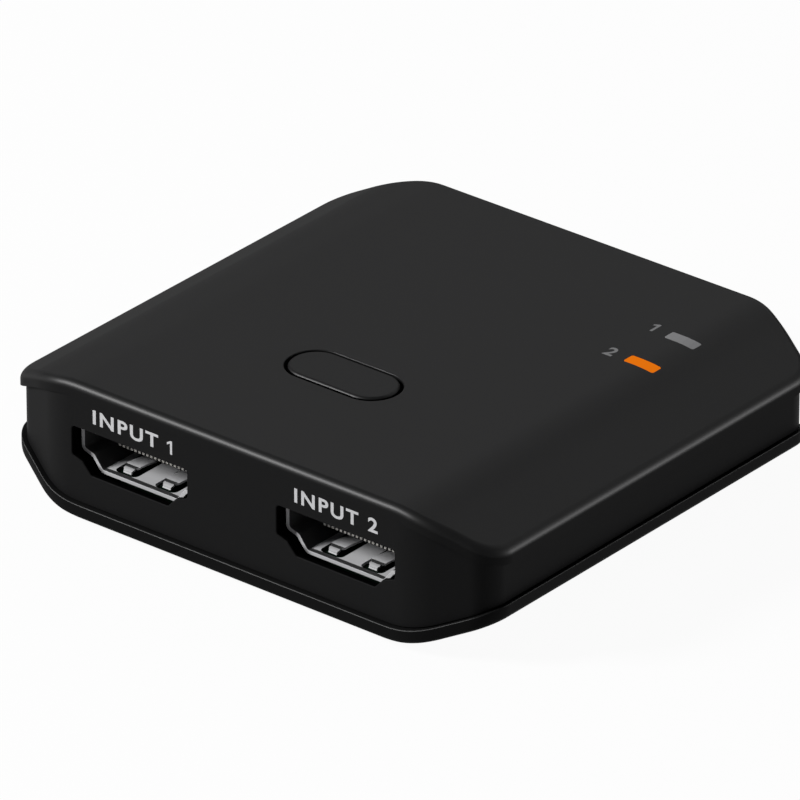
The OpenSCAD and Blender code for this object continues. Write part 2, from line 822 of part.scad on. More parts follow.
module switch_terminals() {
    out = switch_w / 2;
    t = 0.25;
    color(steel)
    at_switch()
        for (s = [-1, 1])
            for (y = [-2.25, 2.25])
                translate([s * out, y, 0]) rotate([0, 0, s > 0 ? 0 : 180])
                    blade_x() polygon([[0, board_top + 1.6], [0.6, board_top + 1.6],
                                       [0.6, board_top + t], [1.5, board_top + t], [1.5, board_top],
                                       [0.6 - t, board_top], [0.6 - t, board_top + 1.6 - t],
                                       [0, board_top + 1.6 - t]]);
}

// A profile in X and Z given a width of one terminal in Y.
module blade_x() {
    w = 0.7;
    translate([0, w / 2, 0]) rotate([90, 0, 0]) linear_extrude(w) children();
}

module light_pipe(y) {
    foot_z = board_top + 0.9;
    brim = 0.75;
    brim_t = 0.8;
    intersection() {
        translate([0, 0, foot_z]) linear_extrude(far) light_window(y, 0);
        below_top(0);
    }
    intersection() {
        block(light_x - light_l / 2 - brim, light_x + light_l / 2 + brim,
              back - y - light_w / 2 - brim, back - y + light_w / 2 + brim, z0, top_z);
        below_top(lid_t);
        above_top(lid_t + brim_t);
    }
}

module light_pipe_1() { color([0.72, 0.72, 0.72]) light_pipe(light_y1); }
module light_pipe_2() { color([1, 0.55, 0.12]) light_pipe(light_y2); }

// A chip's body with a dot for its first corner, w by d by h at (x, y) on the board.
module chip(x, y, w, d, h) {
    dot = w / 15;
    translate([x, y, board_top]) difference() {
        block(-w / 2, w / 2, -d / 2, d / 2, 0, h);
        translate([-w / 2 + 2 * dot, d / 2 - 2 * dot, h - dot / 4]) cylinder(r = dot, h = 1, $fn = 24);
    }
}

// A plain component body on the board.
module brick(x, y, w, d, h) {
    translate([x, y, board_top]) block(-w / 2, w / 2, -d / 2, d / 2, 0, h);
}

module light_chip(y) {
    rise = 0.35;
    translate([light_x, back - y, board_top]) {
        block(-0.8, 0.8, -0.4, 0.4, 0, rise + eps);
        translate([0, 0, rise]) block(-0.5, 0.5, -0.4, 0.4, 0, 0.3);
    }
}

module light_chip_1() { color([0.9, 0.88, 0.75]) light_chip(light_y1); }
module light_chip_2() { color([0.9, 0.88, 0.75]) light_chip(light_y2); }

module switch_chip() {
    color(chip_gray) chip(0, chip_y, switch_chip_w, switch_chip_w, chip_h);
}
module control_chip() {
    color(chip_gray) chip(control_x, control_y, control_chip_w, control_chip_w, chip_h);
}
module regulator() {
    color(chip_gray) chip(regulator_x, control_y, regulator_w, regulator_w, chip_h);
}

// The crystal's ceramic body and its slightly smaller lid.
module crystal() {
    y = control_y + control_chip_w / 2 + part_gap + crystal_w / 2;
    step = crystal_w / 12;
    body = crystal_h * 0.6;
    color(steel) {
        brick(control_x, y, crystal_l, crystal_w, body);
        translate([0, 0, body - eps])
            brick(control_x, y, crystal_l - step, crystal_w - step, crystal_h - body);
    }
}

module surge_arrays() {
    color(chip_gray)
    for (d = [-1, 1]) {
        x = d * (array_l + part_gap) / 2;
        for (s = [-1, 1])
            brick(s * input_pitch / 2 + x, front + array_y, array_l, array_w, array_w / 2);
        brick(output_x + x, back - array_y, array_l, array_w, array_w / 2);
    }
}

module capacitors() {
    bulk_y = control_y - regulator_w / 2 - part_gap;
    color([0.62, 0.5, 0.36]) {
        for (i = [0:4]) brick(2 * part_gap * (i - 1), row_y, cap_w, cap_l, cap_w);
        for (i = [-1:1]) brick(-switch_chip_w / 2 - track_lane + cap_w, chip_y + i * cap_l * part_gap,
                               cap_l, cap_w, cap_w);
        for (i = [0:2]) brick(regulator_x, bulk_y - i * cap_l * 1.3, cap_l * 1.25, cap_l * 0.8, cap_w * 1.4);
    }
}

module resistors() {
    color([0.1, 0.1, 0.11]) {
        for (i = [0:2])
            for (j = [0, 1])
                brick(output_x - track_lane + i * part_gap, chip_y - j * (res_l + part_gap),
                      res_w, res_l, res_w * 0.7);
        for (y = [light_y1, light_y2])
            brick(light_x - light_l / 2 - cap_w, back - y, res_w, res_l, res_w * 0.7);
        for (i = [0:3]) brick(control_x + (i - 0.7) * part_gap, row_y, res_w, res_l, res_w * 0.7);
    }
}

top_cover();
base_plate();
rubber_feet();
case_screws();
main_board();
input_1_shell();
input_1_insulator();
input_1_contacts();
input_2_shell();
input_2_insulator();
input_2_contacts();
output_shell();
output_insulator();
output_contacts();
power_shell();
power_tongue();
power_contacts();
select_button();
switch_housing();
switch_plate();
switch_plunger();
switch_dome();
switch_terminals();
light_pipe_1();
light_pipe_2();
light_chip_1();
light_chip_2();
switch_chip();
control_chip();
regulator();
crystal();
surge_arrays();
capacitors();
resistors();
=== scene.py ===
"""Looks of the two-input video switch box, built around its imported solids.

Sizes below are in millimetres and are the ones of the solids; meshes are in metres.
"""
import math

import bpy
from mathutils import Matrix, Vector


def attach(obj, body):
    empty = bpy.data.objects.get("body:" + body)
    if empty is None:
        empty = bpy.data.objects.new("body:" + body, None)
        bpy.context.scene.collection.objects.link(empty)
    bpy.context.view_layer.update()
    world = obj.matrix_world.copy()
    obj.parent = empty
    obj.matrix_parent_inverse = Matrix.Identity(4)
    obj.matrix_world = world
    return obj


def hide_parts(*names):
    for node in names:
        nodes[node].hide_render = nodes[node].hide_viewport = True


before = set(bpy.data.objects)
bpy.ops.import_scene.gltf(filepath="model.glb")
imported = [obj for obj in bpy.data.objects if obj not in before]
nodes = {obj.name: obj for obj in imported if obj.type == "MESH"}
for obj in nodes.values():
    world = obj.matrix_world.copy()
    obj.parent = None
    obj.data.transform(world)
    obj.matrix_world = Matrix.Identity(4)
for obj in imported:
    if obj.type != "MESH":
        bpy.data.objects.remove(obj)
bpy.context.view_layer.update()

MM = 0.001
# Slack of a place; cosines of directions that count as along and across; distance in metres of
# vertices that are one
SLACK = 0.001
ALONG = 0.999
ACROSS = 0.1
MERGE = 2e-6
# How far a cutting tool reaches past what it cuts, and through a wall
PAST = 1.0
THROUGH = 3.0

# Case
HALF_W = 29.6
FRONT = -28.3
BACK = 28.3
BASE_Z = 0.8
TOP_Z = 15.3
WALL_T = 1.5
WALL_SET = 0.05
LID_T = 1.5
LID_OVER = 0.7
CORNER_OVER = 0.45
RIM_H = 1.55
LID_ROUND = 0.9
LIP_OVER = 0.5
LIP_H = 1.5
LIP_ROUND = 0.45
LIP_EDGE = 0.16
SEAM_H = 0.14
SEAM_IN = 0.3
RIB_H = 1.4
RIB_T = 0.9
RIB_GAP = 0.12
SIDE_R = 3.3
CEILING = TOP_Z - LID_T
# Arches: half width of the bend, slope in degrees, radius of the bend
TOP_ARCH = (23.1, 25.0, 16.0)
BASE_ARCH = (22.2, 25.0, 14.7)
# Corner fields: half width where they start, angle in degrees, radius of the bend
FRONT_FIELD = (22.4, 23.5, 9.0)
BACK_FIELD = (19.9, 24.0, 8.5)
# Sockets: outline of the inside, with the floor at 0
SOCKET_H = 4.55
SOCKET_L = 11.6
SOCKET = [(-4.7, 0), (4.7, 0), (5.75, 1.35), (7, 1.75), (7, SOCKET_H), (-7, SOCKET_H), (-7, 1.75),
          (-5.75, 1.35)]
SOCKET_R = 0.3
INPUT_X = 12.93
OUTPUT_X = -9.5
FLOOR_Z = 5.83
SHEET = 0.3
RIM_IN = 1.6
CUT_SIDE = 0.32
CUT_LEVEL = 0.11
CUT_R = 0.4
POCKET_SKIN = 0.45
POCKET_GAP = 0.45
CUT_EDGE = 0.12
# Faces of a wall from this depth on, and this far round a socket, belong to its recess, which is painted
# near-black as shade
RECESS_NEAR = 0.15
RECESS_REACH = 1.0
# Rolled rim of a socket's shell: its depth, how far it stands out, rounding of its edges
RIM_BAND = 0.55
ROLL_OUT = 0.1
RIM_EDGE = 0.04
# Spring fingers of a shell: place and widths, free space at the front and beside, ends and thickness
FINGER_X = 2.5
FINGER_W = 1.25
FINGER_BODY = 1.7
FINGER_SLOT = 0.42
FINGER_BESIDE = 0.52
FINGER_TIP = 1.05
FINGER_ROOT = 6.8
FINGER_T = 0.22
SLOT_R = 0.6
SLOT_CUT = (-0.6, 0.25)
# Rise of a finger, by the distance behind its tip; where its nose, neck and narrow part end; the least
# rise of a raised face; taper of the nose
FINGER_CURVE = [(6.05, -0.04), (4.75, 0.06), (3.75, 0.19), (2.75, 0.32), (1.85, 0.42), (1.35, 0.45),
                (1.05, 0.455), (0.9, 0.45), (0.65, 0.44), (0.45, 0.4), (0.27, 0.32), (0.13, 0.2),
                (0.05, 0.05), (0.02, -0.1)]
FINGER_NOSE = 0.15
FINGER_NECK = 0.5
FINGER_STEP = 0.9
FINGER_LIFT = 0.03
NOSE_TAPER = 0.25
# Lean of a shell's side walls and of its end face, and depth of the end face's rounding
SIDE_LEAN = 0.3
END_LEAN = 0.5
END_DEPTH = 0.05
# Tongue of a socket: front, lower and upper side, half width, corners; block behind it and its fit
TONGUE_Y = 2.4
TONGUE_Z = (1.7, 2.85)
TONGUE_HALF = 5.4
TONGUE_R = 0.3
CORE_Y = (8.2, 11.3)
CORE_FIT = 0.02
CORE_LAP = 0.2
# Contacts: how many, pitch, width, thickness, lower end of their tips, length behind the block
PINS = 19
PITCH = 0.5
PIN_W = 0.26
PIN_T = 0.12
PIN_LOW = 1.76
PIN_TAIL = 0.4
# Legs of a shell: across, along and upright
LEG_X = (7.02, 7.28)
LEG_Y = (2.3, 8.7)
LEG_L = 1.8
LEG_Z = (-1.9, 2.6)
# Power inlet: place across the back, height of its middle, inner width and height
POWER = (9.5, 7.11, 8.34, 2.56)
# Button and lights
BUTTON_X = -0.6
BUTTON_Y = FRONT + 17.8
BUTTON = (12.6, 5.7)
BUTTON_GAP = 0.3
HOLE_EDGE = 0.12
BUTTON_TOP = TOP_Z + 0.1
BUTTON_ROUND = 0.38
BUTTON_SUNK = 0.08
FLANGE_W = 1.1
FLANGE_T = 0.9
SKIRT = 1.1
CAP_T = 1.3
CAP_LAP = 0.1
STEM_D = 3.2
PLUNGER_TOP = 10.18
LIGHT_X = 20.25
LIGHT_Y = (BACK - 12.1, BACK - 18.5)
LIGHT = (3.6, 1.45)
LIGHT_R = 0.22
LIGHT_FIT = 0.04
# Print: thickness above the surface, share of capitals in the type size, weight, spacing
INK = 0.01
CAPITALS = 0.69
WEIGHT = 0.035
SPACING = 1.2
LABEL_H = 1.45
LABEL_Y = FRONT + WALL_SET
LABEL_Z = BASE_Z + 11.45
DIGIT_H = 1.6
DIGIT_X = 16.4
DIGIT_Y = (BACK - 11.8, BACK - 18.6)
# Screws and feet
SCREW_X = 23.0
SCREW_Y = (FRONT + 17.5, BACK - 7.0)
SHANK_D = 2.3
HEAD_D = 4.0
PILOT_D = 2.08
PILOT_TOP = 12.33
BOSS_D = 4.6
BOARD_TOP = 5.53
BOARD_LOW = 4.33
SEAT_Z = 2.83
FOOT_X = 14.0
FOOT_Y = 19.8
FOOT_D = 7.0
FOOT_PLAY = 0.24
FOOT_SUNK = 0.4
# Places across the case at which its outlines are drawn, and angles round its side corners
FLAT_X = 18.7
TURN_X = HALF_W - SIDE_R
LANES = [FLAT_X + (TURN_X - FLAT_X) * i / 30 for i in range(31)]
SWEEP = [math.radians(90 * i / 20) for i in range(1, 21)]
# Skin of the case plastic: weight seen square on and along the surface, and where it starts and ends fading
SKIN = (0.40, 0.018, 0.45, 0.80)
# How much of the colour is painted lighter where a face is turned up, as painted light, and how much
# follows the broad patches
UPTURN_PAINTED_LIGHT_SHARE = 0.85
PATCH_SHARE = 0.15
GRAIN_DEPTH = 0.02
# Stage: floor in metres, its grey, how white it is to the camera, gap below the feet; grey of the surround
FLOOR_SIZE = 8
FLOOR_GREY = 0.7
FLOOR_WHITE = 0.95
FLOOR_GAP = 0.02
SURROUND = (0.07, 0.07, 0.072)
# Camera in metres, solved from the photo's parallel edges
CAMERA_AT = (0.61754, -0.75773, 0.51962)
CAMERA_BACK = (0.56102, -0.68598, 0.46334)
CAMERA_LENS = 507.4


def deselect():
    """Leaves edit mode and selects nothing."""
    if bpy.context.object and bpy.context.object.mode != "OBJECT":
        bpy.ops.object.mode_set(mode="OBJECT")
    bpy.ops.object.select_all(action="DESELECT")


def activate(piece):
    """Selects one piece alone."""
    deselect()
    piece.select_set(True)
    bpy.context.view_layer.objects.active = piece


def settle(piece, name):
    """Names a piece and puts its place, turn and size into its mesh."""
    activate(piece)
    piece.name = name
    piece.data.name = name
    bpy.ops.object.transform_apply(location=True, rotation=True, scale=True)
    return piece


def block(name, low, high):
    """A cube primitive between two corners."""
    deselect()
    middle = [(a + b) / 2 * MM for a, b in zip(low, high)]
    size = [(b - a) * MM for a, b in zip(low, high)]
    bpy.ops.mesh.primitive_cube_add(size=1, location=middle, scale=size)
    return settle(bpy.context.object, name)


def rod(name, x, y, low, high, d, sides=48):
    """An upright cylinder primitive."""
    deselect()
    bpy.ops.mesh.primitive_cylinder_add(vertices=sides, radius=d / 2 * MM, depth=(high - low) * MM,
                                        location=(x * MM, y * MM, (low + high) / 2 * MM))
    return settle(bpy.context.object, name)


def edges_of(piece):
    """Each edge with its ends in millimetres and the normals of its faces."""
    mesh = piece.data
    beside = {}
    for face in mesh.polygons:
        for key in face.edge_keys:
            beside.setdefault(key, []).append(face.normal.copy())
    for edge in mesh.edges:
        a, b = (mesh.vertices[i].co / MM for i in edge.vertices)
        yield edge, a, b, beside.get(edge.key, [])


def start_edges(piece):
    """Selects by edges, with none selected yet."""
    activate(piece)
    bpy.ops.object.mode_set(mode="EDIT")
    bpy.ops.mesh.select_mode(type="EDGE")
    bpy.ops.mesh.select_all(action="DESELECT")
    bpy.ops.object.mode_set(mode="OBJECT")


def bevel(piece, rule, width, segments):
    """Rounds the edges that the rule takes."""
    start_edges(piece)
    for edge, a, b, normals in edges_of(piece):
        edge.select = bool(rule(a, b, normals))
    bpy.ops.object.mode_set(mode="EDIT")
    bpy.ops.mesh.bevel(offset_type="OFFSET", offset=width * MM, segments=segments, profile=0.5,
                       clamp_overlap=False)
    bpy.ops.object.mode_set(mode="OBJECT")
    return piece


def combine(piece, tool, operation):
    """Joins, cuts or intersects a piece with a tool solid, which is used up."""
    activate(piece)
    step = piece.modifiers.new("step", "BOOLEAN")
    step.operation = operation
    step.solver = "MANIFOLD"
    step.object = tool
    bpy.ops.object.modifier_apply(modifier=step.name)
    bpy.data.objects.remove(tool)
    return piece


def cut(piece, tool):
    """Takes a tool solid away from a piece."""
    return combine(piece, tool, "DIFFERENCE")


def weld(piece, tool):
    """Joins a tool solid to a piece."""
    return combine(piece, tool, "UNION")


def along(a, b, axis):
    """Whether an edge runs along an axis."""
    d = (b - a).normalized()
    return abs(d[axis]) > ALONG


def finish_mesh(piece, angle=32):
    """Clean, smooth-shaded mesh whose flat fields stay flat."""
    activate(piece)
    bpy.ops.object.mode_set(mode="EDIT")
    bpy.ops.mesh.select_all(action="SELECT")
    bpy.ops.mesh.remove_doubles(threshold=MERGE)
    bpy.ops.mesh.dissolve_degenerate(threshold=MERGE)
    bpy.ops.mesh.normals_make_consistent(inside=False)
    bpy.ops.object.mode_set(mode="OBJECT")
    bpy.ops.object.shade_smooth_by_angle(angle=math.radians(angle))
    step = piece.modifiers.new("flat fields", "WEIGHTED_NORMAL")
    step.keep_sharp = True
    step.weight = 100
    bpy.ops.object.modifier_apply(modifier=step.name)
    return piece


# Forms of the case

def arch_drop(x, arch):
    """How far a bent side field lies beyond the flat middle."""
    bend_x, slope, radius = arch
    turn = math.radians(slope)
    start = bend_x - radius * math.tan(turn / 2)
    x = abs(x)
    if x <= start:
        return 0.0
    if x <= start + radius * math.sin(turn):
        return radius - math.sqrt(radius ** 2 - (x - start) ** 2)
    return (x - bend_x) * math.tan(turn)


def top_at(drop):
    """The height of the lid, lowered, at each place across the case."""
    return lambda x: TOP_Z - drop - arch_drop(x, TOP_ARCH)


def base_at(rise):
    """The height of the base's underside, raised, at each place across the case."""
    return lambda x: BASE_Z + rise + arch_drop(x, BASE_ARCH)


def edge_out(x, field, half, radius, grow, corner):
    """How far the plan's outline lies beyond the straight front or back at x."""
    corner_x, angle, bend = field
    turn = math.radians(angle)
    corner_x += corner / math.sin(turn)
    start = corner_x - bend * math.tan(turn / 2)
    side_x = half - radius
    x = abs(x)
    if x <= start:
        return grow
    if x <= start + (bend + grow) * math.sin(turn):
        return math.sqrt((bend + grow) ** 2 - (x - start) ** 2) - bend
    if x <= side_x + (radius + grow) * math.sin(turn):
        return (grow - (x - corner_x) * math.sin(turn)) / math.cos(turn)
    middle = -(radius + (side_x - corner_x) * math.sin(turn)) / math.cos(turn)
    return middle + math.sqrt(max((radius + grow) ** 2 - (x - side_x) ** 2, 0.0))


def ring(half, radius, grow, height, corner=0.0):
    """The case's outline: its front from left to right, then its back from right to left."""
    right = LANES + [half - radius + (radius + grow) * math.sin(t) for t in SWEEP]
    row = [-x for x in reversed(right)] + right
    shape = (half, radius, grow, corner)
    front = [(x, FRONT - edge_out(x, FRONT_FIELD, *shape), height(x)) for x in row]
    rear = [(x, BACK + edge_out(x, BACK_FIELD, *shape), height(x)) for x in reversed(row)]
    return front + rear


def place(piece, row, points):
    """Moves vertices to points given in millimetres."""
    for index, point in zip(row, points):
        piece.data.vertices[index].co = [c * MM for c in point]


def next_row(piece, row):
    """The vertices extruded from a row, in the row's order."""
    order = {index: k for k, index in enumerate(row)}
    fresh = {v.index for v in piece.data.vertices if v.select}
    found = [0] * len(row)
    for edge in piece.data.edges:
        a, b = edge.vertices
        if a in fresh and b in order:
            found[order[b]] = a
        elif b in fresh and a in order:
            found[order[a]] = b
    return found


def close_across(piece, row):
    """Closes an outline by strips from its front to its back."""
    middle = len(row) // 2 - 1
    chains = {frozenset(row[i:i + 2]) for i in range(len(row) - 1) if i != middle}
    start_edges(piece)
    for edge in piece.data.edges:
        edge.select = frozenset(edge.vertices) in chains
    bpy.ops.object.mode_set(mode="EDIT")
    bpy.ops.mesh.bridge_edge_loops()
    bpy.ops.object.mode_set(mode="OBJECT")


def loft(name, rings):
    """A solid through outlines, each extruded from the one before."""
    deselect()
    bpy.ops.mesh.primitive_circle_add(vertices=len(rings[0]), radius=MM)
    piece = bpy.context.object
    row = list(range(len(rings[0])))
    place(piece, row, rings[0])
    rows = [row]
    start_edges(piece)
    for edge in piece.data.edges:
        edge.select = True
    for points in rings[1:]:
        bpy.ops.object.mode_set(mode="EDIT")
        bpy.ops.mesh.extrude_region_move()
        bpy.ops.object.mode_set(mode="OBJECT")
        row = next_row(piece, row)
        place(piece, row, points)
        rows.append(row)
    close_across(piece, rows[0])
    close_across(piece, rows[-1])
    activate(piece)
    bpy.ops.object.mode_set(mode="EDIT")
    bpy.ops.mesh.select_all(action="SELECT")
    bpy.ops.mesh.normals_make_consistent(inside=False)
    bpy.ops.object.mode_set(mode="OBJECT")
    return settle(piece, name)


def arch_normals(piece, arch, level, up):
    """Shades an arched face by its true curve, however it is cut up."""
    bend_x, slope, radius = arch
    turn = math.radians(slope)
    start = bend_x - radius * math.tan(turn / 2)
    least_up, most_along, most_off = 0.85, 0.02, 0.03
    mesh = piece.data
    normals = [corner.vector.copy() for corner in mesh.corner_normals]
    for face in mesh.polygons:
        centre = face.center / MM
        off = centre.z - level + up * arch_drop(centre.x, arch)
        if up * face.normal.z < least_up or abs(face.normal.y) > most_along or abs(off) > most_off:
            continue
        for index in face.loop_indices:
            x = mesh.vertices[mesh.loops[index].vertex_index].co.x / MM
            lean = min(max((abs(x) - start) / radius, 0.0), math.sin(turn))
            normals[index] = Vector((math.copysign(lean, x), 0, up * math.sqrt(1 - lean ** 2)))
    mesh.normals_split_custom_set(normals)
    return piece


def outline(name, points, low, high):
    """A prism along Y whose outline in X and Z goes through the points."""
    deselect()
    bpy.ops.mesh.primitive_circle_add(vertices=len(points), radius=MM, fill_type="NGON")
    piece = bpy.context.object
    place(piece, range(len(points)), [(x, low, z) for x, z in points])
    activate(piece)
    bpy.ops.object.mode_set(mode="EDIT")
    bpy.ops.mesh.select_all(action="SELECT")
    bpy.ops.mesh.extrude_region_move(TRANSFORM_OT_translate={"value": (0, (high - low) * MM, 0)})
    bpy.ops.mesh.select_all(action="SELECT")
    bpy.ops.mesh.normals_make_consistent(inside=False)
    bpy.ops.object.mode_set(mode="OBJECT")
    return settle(piece, name)


def slab(name, x, y, length, width, low, high, corner, segments):
    """An upright bar with round corners."""
    piece = block(name, (x - length / 2, y - width / 2, low), (x + length / 2, y + width / 2, high))
    return bevel(piece, lambda a, b, normals: along(a, b, 2), corner, segments)


def obround(name, x, y, length, width, low, high):
    """An upright bar with half-round ends."""
    return slab(name, x, y, length, width, low, high, width / 2 - SLACK, 24)


def grown(points, by):
    """A closed outline grown outwards."""
    result = []
    for i, here in enumerate(points):
        before, after = Vector(points[i - 1]), Vector(points[(i + 1) % len(points)])
        here = Vector(here)
        d1, d2 = (here - before).normalized(), (after - here).normalized()
        n1, n2 = Vector((d1.y, -d1.x)), Vector((d2.y, -d2.x))
        result.append(here + by * (n1 + n2) / (1 + n1.dot(n2)))
    return result


def softened(points, radius, steps=6):
    """A closed outline with its corners rounded."""
    result = []
    for i, here in enumerate(points):
        here = Vector(here)
        u = (Vector(points[i - 1]) - here).normalized()
        v = (Vector(points[(i + 1) % len(points)]) - here).normalized()
        half = math.acos(u.dot(v)) / 2
        centre = here + (u + v).normalized() * radius / math.sin(half)
        s, e = here + u * radius / math.tan(half) - centre, here + v * radius / math.tan(half) - centre
        first = math.atan2(s.y, s.x)
        turn = (math.atan2(e.y, e.x) - first + math.pi) % (2 * math.pi) - math.pi
        for k in range(steps + 1):
            angle = first + turn * k / steps
            result.append((centre.x + radius * math.cos(angle), centre.y + radius * math.sin(angle)))
    return result


def socket_outline(by):
    """The inside of a socket's shell, grown."""
    return softened(grown(SOCKET, by), SOCKET_R + by)


def cut_socket(cover, x, face, way):
    """The cut-out for a socket in a wall, and the pocket behind it."""
    level = [(px, max(-CUT_LEVEL, min(pz, SOCKET_H + CUT_LEVEL))) for px, pz in grown(SOCKET, CUT_SIDE)]
    opening = [(x + px, FLOOR_Z + pz) for px, pz in softened(level, CUT_R)]
    pocket = [(x + px, FLOOR_Z + pz) for px, pz in socket_outline(SHEET + POCKET_GAP)]
    for name, points, near, far in (("socket_cut", opening, -PAST, THROUGH),
                                    ("socket_pocket", pocket, POCKET_SKIN, THROUGH)):
        low, high = sorted((face - way * near, face - way * far))
        cut(cover, outline(name, points, low, high))


def top_cover():
    """The arched lid and the walls in one moulding, with its holes, pockets and screw bosses."""
    lid = (HALF_W + LID_OVER, SIDE_R + LID_OVER)
    wall = (HALF_W, SIDE_R)
    steps = 9
    rings = []
    for i in range(steps + 1):
        turn = math.pi / 2 * (1 - i / steps)
        rings.append(ring(*lid, -LID_ROUND * (1 - math.cos(turn)),
                          top_at(LID_ROUND * (1 - math.sin(turn))), CORNER_OVER))
    rings.append(ring(*lid, 0, top_at(RIM_H), CORNER_OVER))
    rings.append(ring(*wall, -WALL_SET, top_at(RIM_H)))
    rings.append(ring(*wall, -WALL_SET, base_at(LIP_H + SEAM_H)))
    rings.append(ring(*wall, -WALL_SET - SEAM_IN, base_at(LIP_H + SEAM_H)))
    rings.append(ring(*wall, -WALL_SET - SEAM_IN, base_at(LIP_H)))
    rings.append(ring(*wall, -WALL_SET - WALL_T, base_at(LIP_H)))
    rings.append(ring(*wall, -WALL_SET - WALL_T, top_at(LID_T)))
    cover = loft("case_cover", rings)
    for x in (-SCREW_X, SCREW_X):
        for y in SCREW_Y:
            weld(cover, rod("boss", x, y, BOARD_TOP, top_at(LID_T / 2)(x), BOSS_D))
            cut(cover, rod("pilot", x, y, BOARD_TOP - PAST, PILOT_TOP, PILOT_D))
    for x in (-INPUT_X, INPUT_X):
        cut_socket(cover, x, FRONT, -1)
    cut_socket(cover, OUTPUT_X, BACK, 1)
    px, pz, pw, ph = POWER
    inlet = block("inlet_cut", (px - pw / 2 - CUT_SIDE, BACK - THROUGH, pz - ph / 2 - CUT_SIDE),
                  (px + pw / 2 + CUT_SIDE, BACK + PAST, pz + ph / 2 + CUT_SIDE))
    bevel(inlet, lambda a, b, normals: along(a, b, 1), ph / 2 + CUT_SIDE - SLACK, 16)
    cut(cover, inlet)
    length, width = (s + 2 * BUTTON_GAP for s in BUTTON)
    cut(cover, obround("button_hole", BUTTON_X, BUTTON_Y, length, width, CEILING - PAST, TOP_Z + PAST))
    for y in LIGHT_Y:
        cut(cover, slab("light_hole", LIGHT_X, y, LIGHT[0] + 2 * LIGHT_FIT, LIGHT[1] + 2 * LIGHT_FIT,
                        CEILING - 2 * PAST, TOP_Z + PAST, LIGHT_R, 5))

    def button_rim(a, b, normals):
        """The upper edge of the button's hole."""
        inside = all(abs(p.x - BUTTON_X) < length / 2 + HOLE_EDGE
                     and abs(p.y - BUTTON_Y) < width / 2 + HOLE_EDGE for p in (a, b))
        edge = any(abs(n.z) < ACROSS for n in normals)
        return inside and edge and all(abs(p.z - TOP_Z) < SLACK for p in (a, b))

    bevel(cover, button_rim, HOLE_EDGE, 3)

    def cut_rim(a, b, normals):
        """The outer edges of the cut-outs for the sockets."""
        level = all(-RECESS_REACH < p.z - FLOOR_Z < SOCKET_H + RECESS_REACH for p in (a, b))
        widest = INPUT_X + SOCKET[3][0] + RECESS_REACH
        inner = max(abs(a.x), abs(b.x)) < widest and not along(a, b, 1)
        face = any(abs(n.y) > ALONG for n in normals) and any(abs(n.y) < ACROSS for n in normals)
        faces_out = all(abs(abs(p.y) + WALL_SET - BACK) < 2 * SLACK for p in (a, b))
        return level and inner and face and faces_out

    bevel(cover, cut_rim, CUT_EDGE, 3)
    return arch_normals(finish_mesh(cover), TOP_ARCH, TOP_Z, 1)


def base_plate():
    """The arched base with its lip, its rib inside the walls, screw holes and recesses for the feet."""
    wall = (HALF_W, SIDE_R)
    rib_out = -WALL_SET - WALL_T - RIB_GAP
    rings = []
    low_steps, edge_steps = 6, 4
    for i in range(low_steps + 1):
        turn = math.pi / 2 * (1 - i / low_steps)
        rings.append(ring(*wall, LIP_OVER - LIP_ROUND * (1 - math.cos(turn)),
                          base_at(LIP_ROUND * (1 - math.sin(turn)))))
    for i in range(edge_steps + 1):
        turn = math.pi / 2 * i / edge_steps
        rings.append(ring(*wall, LIP_OVER - LIP_EDGE * (1 - math.cos(turn)),
                          base_at(LIP_H - LIP_EDGE * (1 - math.sin(turn)))))
    rings.append(ring(*wall, rib_out, base_at(LIP_H)))
    rings.append(ring(*wall, rib_out, base_at(LIP_H + RIB_H)))
    rings.append(ring(*wall, rib_out - RIB_T, base_at(LIP_H + RIB_H)))
    rings.append(ring(*wall, rib_out - RIB_T, base_at(LIP_H)))
    base = loft("case_base", rings)
    for x in (-SCREW_X, SCREW_X):
        for y in SCREW_Y:
            weld(base, rod("boss", x, y, base_at(LIP_H / 2)(x), BOARD_LOW, BOSS_D))
            cut(base, rod("shank", x, y, BASE_Z - PAST, BOARD_LOW + PAST, SHANK_D))
            cut(base, rod("counterbore", x, y, BASE_Z - 2 * PAST, SEAT_Z, HEAD_D))
    for x in (-FOOT_X, FOOT_X):
        for y in (-FOOT_Y, FOOT_Y):
            cut(base, rod("recess", x, y, BASE_Z - PAST, BASE_Z + FOOT_SUNK, FOOT_D + FOOT_PLAY, 64))
    return arch_normals(finish_mesh(base), BASE_ARCH, BASE_Z, -1)


def button_cap():
    """The select button: a cap with a keeping flange, hollow below, and a stem on the switch."""
    length, width = BUTTON
    under = CEILING - FLANGE_T
    cap = obround("button_cap", BUTTON_X, BUTTON_Y, length, width, CEILING - CAP_LAP, BUTTON_TOP)
    bevel(cap, lambda a, b, normals: min(a.z, b.z) > BUTTON_TOP - SLACK, BUTTON_ROUND, 6)
    weld(cap, obround("flange", BUTTON_X, BUTTON_Y, length + 2 * FLANGE_W, width + 2 * FLANGE_W, under,
                      CEILING))
    cut(cap, obround("hollow", BUTTON_X, BUTTON_Y, length - 2 * SKIRT, width - 2 * SKIRT, under - PAST,
                     BUTTON_TOP - CAP_T))
    weld(cap, rod("stem", BUTTON_X, BUTTON_Y, PLUNGER_TOP, BUTTON_TOP - CAP_T / 2, STEM_D))
    return finish_mesh(cap)


def bent_strip(name, curve, x, width_at, thickness, lift):
    """A sheet-metal strip along a curve in Y and Z; lift says which side the metal is on."""
    deselect()
    across = 4
    bpy.ops.mesh.primitive_grid_add(x_subdivisions=across, y_subdivisions=len(curve) - 1, size=1)
    piece = bpy.context.object
    for vertex in piece.data.vertices:
        y, z = curve[round((0.5 - vertex.co.y) * (len(curve) - 1))]
        vertex.co = [c * MM for c in (x + vertex.co.x * width_at(y), y, z)]
    settle(piece, name)
    step = piece.modifiers.new("sheet", "SOLIDIFY")
    step.thickness = thickness * MM
    step.offset = lift
    bpy.ops.object.modifier_apply(modifier=step.name)
    return piece


